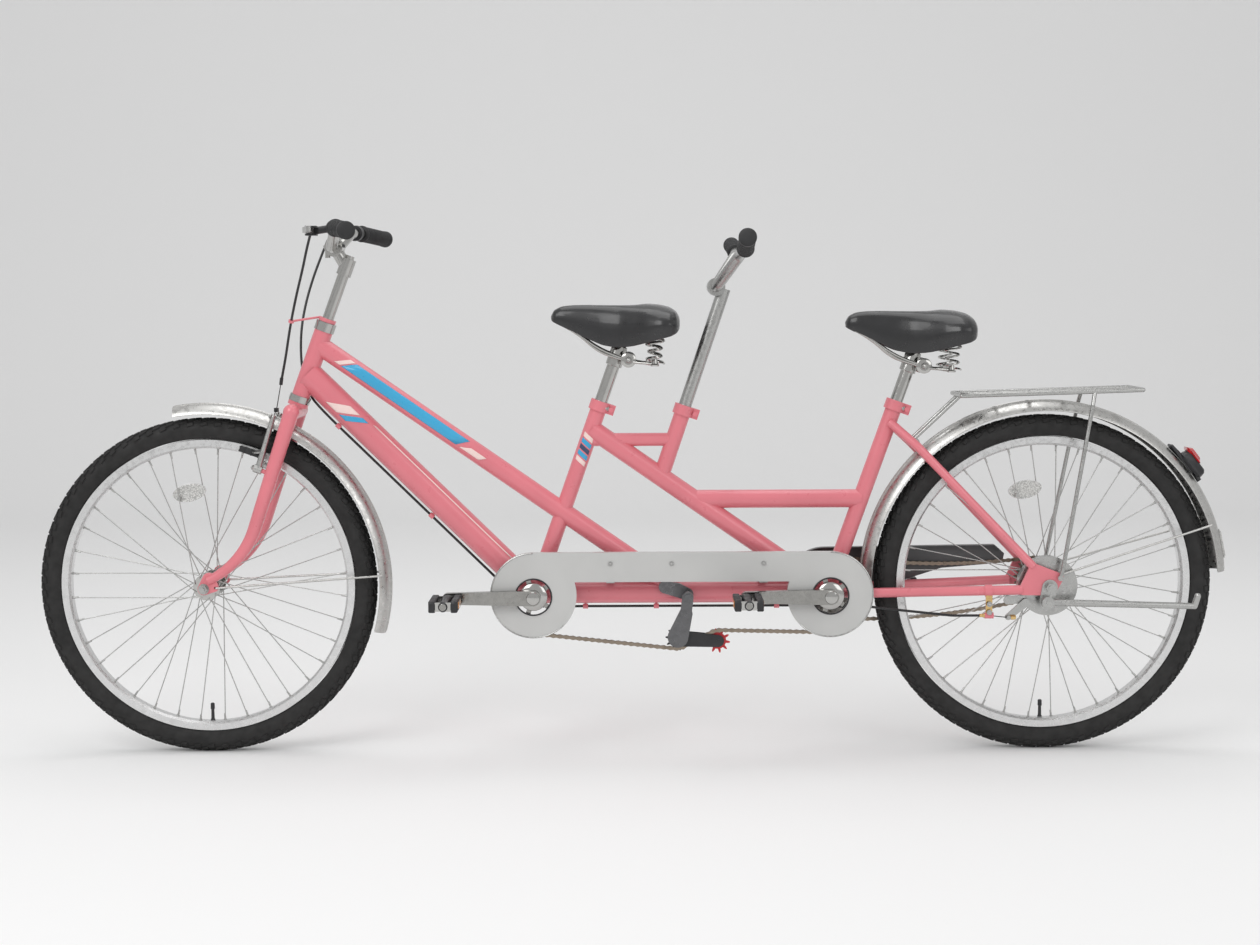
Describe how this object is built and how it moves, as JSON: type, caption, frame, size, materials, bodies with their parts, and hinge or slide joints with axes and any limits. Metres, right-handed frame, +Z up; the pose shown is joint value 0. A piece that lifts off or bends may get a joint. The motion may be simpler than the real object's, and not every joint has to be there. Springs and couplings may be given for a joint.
{
  "type": "tandem bicycle",
  "caption": "Long tandem bicycle: two saddles in line, two cranksets joined by a timing chain with a case, mudguards, rear rack, rim and drum brakes.",
  "frame": {"origin": "on the ground, under the middle of the bicycle", "axes": "+X points to the back of the bicycle, +Y to its right side, +Z up"},
  "size_m": [2.3363, 0.5844, 1.0428],
  "materials": {
    "frame_paint": "satin salmon pink enamel",
    "chrome": "bright plating",
    "dark_steel": "dark zinc and black plating",
    "case_silver": "silver enamel",
    "chain_steel": "oiled, lightly rusted steel",
    "black_plastic": "moulded",
    "red_plastic": "moulded",
    "crank_steel": "worn plating",
    "pedal_plastic": "ribbed blocks",
    "tyre_rubber": "knobbly tread, dusty",
    "rim_aluminium": "satin",
    "spoke_steel": "drawn wire",
    "bright_steel": "zinc plated",
    "fender_grey": "satin grey",
    "grip_rubber": "ribbed",
    "cable_black": "smooth sleeve",
    "rack_steel": "bright plated rod",
    "guard_grey": "dark grey enamel",
    "stoker_silver": "satin",
    "lever_alloy": "satin",
    "lamp_red": "moulded lens on a dark body",
    "saddle_black": "glossy vinyl over foam, steel rails"
  },
  "bodies": {
    "frame": {"head_tube": "frame_paint", "top_tube": "frame_paint", "down_tube": "frame_paint", "seat_tubes": "frame_paint", "middle_tubes": "frame_paint", "rear_triangle": "frame_paint", "bottom_bracket_shells": "frame_paint", "bearing_cups": "chrome", "clamps_and_cable_stops": "dark_steel", "timing_chain_case": "case_silver", "drive_chain_guard": "guard_grey", "timing_chain": "chain_steel", "drive_chain": "chain_steel", "tensioner_body": "dark_steel", "rear_axle": "bright_steel", "rear_brake_housing": "bright_steel", "rear_fender": "fender_grey", "rear_brake_cable": "cable_black", "rear_brake_cable_span": "cable_black", "rear_rack": "rack_steel", "tail_light": "lamp_red", "kickstand_bracket": "bright_steel"},
    "steering": {"fork": "frame_paint", "stem": "chrome", "handlebar": "chrome", "handlebar_grips": "grip_rubber", "lever_brackets": "black_plastic", "front_fender": "fender_grey", "front_axle": "bright_steel", "front_brake_cable": "cable_black"},
    "front_wheel": {"front_tyre": "tyre_rubber", "front_rim": "rim_aluminium", "front_spokes": "spoke_steel", "front_hub": "chrome"},
    "rear_wheel": {"rear_tyre": "tyre_rubber", "rear_rim": "rim_aluminium", "rear_spokes": "spoke_steel", "rear_hub": "chrome"},
    "freewheel_ring": {"freewheel": "chain_steel"},
    "front_cranks": {"front_crankset": "crank_steel"},
    "rear_cranks": {"rear_crankset": "crank_steel"},
    "front_left_pedal_body": {"front_left_pedal": "pedal_plastic"},
    "front_right_pedal_body": {"front_right_pedal": "pedal_plastic"},
    "rear_left_pedal_body": {"rear_left_pedal": "pedal_plastic"},
    "rear_right_pedal_body": {"rear_right_pedal": "pedal_plastic"},
    "tensioner_arm": {"tensioner_cage": "black_plastic"},
    "guide_wheel": {"guide_pulley": "black_plastic"},
    "tension_wheel": {"tension_pulley": "red_plastic"},
    "kickstand": {"kickstand_leg": "dark_steel"},
    "front_seat": {"front_seatpost": "chrome", "front_saddle": "saddle_black"},
    "rear_seat": {"rear_seatpost": "chrome", "rear_saddle": "saddle_black"},
    "stoker_stem": {"stoker_handlebar": "stoker_silver", "stoker_grips": "grip_rubber"},
    "left_lever": {"brake_lever_left": "lever_alloy"},
    "right_lever": {"brake_lever_right": "lever_alloy"},
    "left_brake_arm": {"front_brake_arm_left": "bright_steel"},
    "right_brake_arm": {"front_brake_arm_right": "bright_steel"},
    "rear_brake_lever": {"rear_brake_arm": "dark_steel"}
  },
  "joints": [
    {"name": "steering_turn", "type": "hinge", "parent": "frame", "child": "steering", "pos_m": [-0.62878, 0, 0.76], "axis": [0.3486, 0, 0.9373], "range_deg": [-50, 50], "deforming": ["rear_brake_cable_span"]},
    {"name": "front_wheel_spin", "type": "hinge", "parent": "steering", "child": "front_wheel", "pos_m": [-0.8365, 0, 0.332], "axis": [0, 1, 0], "continuous": true},
    {"name": "rear_wheel_spin", "type": "hinge", "parent": "frame", "child": "rear_wheel", "pos_m": [0.8085, 0, 0.332], "axis": [0, 1, 0], "continuous": true},
    {"name": "rear_crank_spin", "type": "hinge", "parent": "frame", "child": "rear_cranks", "pos_m": [0.3845, 0, 0.315], "axis": [0, 1, 0], "continuous": true, "deforming": ["timing_chain", "drive_chain"]},
    {"name": "front_crank_spin", "type": "hinge", "parent": "frame", "child": "front_cranks", "pos_m": [-0.1935, 0, 0.315], "axis": [0, 1, 0], "continuous": true},
    {"name": "freewheel_spin", "type": "hinge", "parent": "frame", "child": "freewheel_ring", "pos_m": [0.8085, 0, 0.332], "axis": [0, 1, 0], "continuous": true},
    {"name": "guide_pulley_spin", "type": "hinge", "parent": "frame", "child": "guide_wheel", "pos_m": [0.0875, -0.058, 0.2315], "axis": [0, 1, 0], "continuous": true},
    {"name": "tensioner_swing", "type": "hinge", "parent": "frame", "child": "tensioner_arm", "pos_m": [0.0875, -0.058, 0.2315], "axis": [0, 1, 0], "range_deg": [-5, 5], "stiffness_Nm_per_rad": 4},
    {"name": "tension_pulley_spin", "type": "hinge", "parent": "tensioner_arm", "child": "tension_wheel", "pos_m": [0.1655, -0.058, 0.227], "axis": [0, 1, 0], "continuous": true},
    {"name": "front_left_pedal_spin", "type": "hinge", "parent": "front_cranks", "child": "front_left_pedal_body", "pos_m": [-0.3585, -0.1, 0.315], "axis": [0, 1, 0], "continuous": true},
    {"name": "front_right_pedal_spin", "type": "hinge", "parent": "front_cranks", "child": "front_right_pedal_body", "pos_m": [-0.0285, 0.1, 0.315], "axis": [0, 1, 0], "continuous": true},
    {"name": "rear_left_pedal_spin", "type": "hinge", "parent": "rear_cranks", "child": "rear_left_pedal_body", "pos_m": [0.2195, -0.1, 0.315], "axis": [0, 1, 0], "continuous": true},
    {"name": "rear_right_pedal_spin", "type": "hinge", "parent": "rear_cranks", "child": "rear_right_pedal_body", "pos_m": [0.5495, 0.1, 0.315], "axis": [0, 1, 0], "continuous": true},
    {"name": "kickstand_swing", "type": "hinge", "parent": "frame", "child": "kickstand", "pos_m": [0.8025, -0.086, 0.304], "axis": [0, 1, 0], "range_deg": [0, 85]},
    {"name": "front_seat_slide", "type": "slide", "parent": "frame", "child": "front_seat", "axis": [0.3322, 0, 0.9432], "range_m": [-0.06, 0.05]},
    {"name": "rear_seat_slide", "type": "slide", "parent": "frame", "child": "rear_seat", "axis": [0.3355, 0, 0.9421], "range_m": [-0.055, 0.05]},
    {"name": "stoker_stem_slide", "type": "slide", "parent": "frame", "child": "stoker_stem", "axis": [0.3206, 0, 0.9472], "range_m": [-0.03, 0.04]},
    {"name": "left_lever_pull", "type": "hinge", "parent": "steering", "child": "left_lever", "pos_m": [-0.602, -0.15, 1.02161], "axis": [0, 0, 1], "range_deg": [0, 18], "stiffness_Nm_per_rad": 2},
    {"name": "right_lever_pull", "type": "hinge", "parent": "steering", "child": "right_lever", "pos_m": [-0.602, 0.15, 1.02161], "axis": [0, 0, -1], "range_deg": [0, 18], "stiffness_Nm_per_rad": 2},
    {"name": "left_brake_arm_swing", "type": "hinge", "parent": "steering", "child": "left_brake_arm", "pos_m": [-0.72696, -0.046, 0.56487], "axis": [-0.9373, 0, 0.3486], "range_deg": [0, 2.4]},
    {"name": "right_brake_arm_swing", "type": "hinge", "parent": "steering", "child": "right_brake_arm", "pos_m": [-0.72696, 0.046, 0.56487], "axis": [0.9373, 0, -0.3486], "range_deg": [0, 2.4]},
    {"name": "rear_brake_lever_swing", "type": "hinge", "parent": "frame", "child": "rear_brake_lever", "pos_m": [0.7645, -0.064, 0.3], "axis": [0, 1, 0], "range_deg": [0, 10]}
  ],
  "couplings": [
    {"joint": "front_crank_spin", "follows": "rear_crank_spin", "ratio": 1},
    {"joint": "freewheel_spin", "follows": "rear_crank_spin", "ratio": 1.6},
    {"joint": "guide_pulley_spin", "follows": "rear_crank_spin", "ratio": 3.6},
    {"joint": "tension_pulley_spin", "follows": "rear_crank_spin", "ratio": -3.6},
    {"joint": "left_brake_arm_swing", "follows": "left_lever_pull", "ratio": 0.13},
    {"joint": "right_brake_arm_swing", "follows": "left_lever_pull", "ratio": 0.13},
    {"joint": "rear_brake_lever_swing", "follows": "right_lever_pull", "ratio": 0.55}
  ]
}
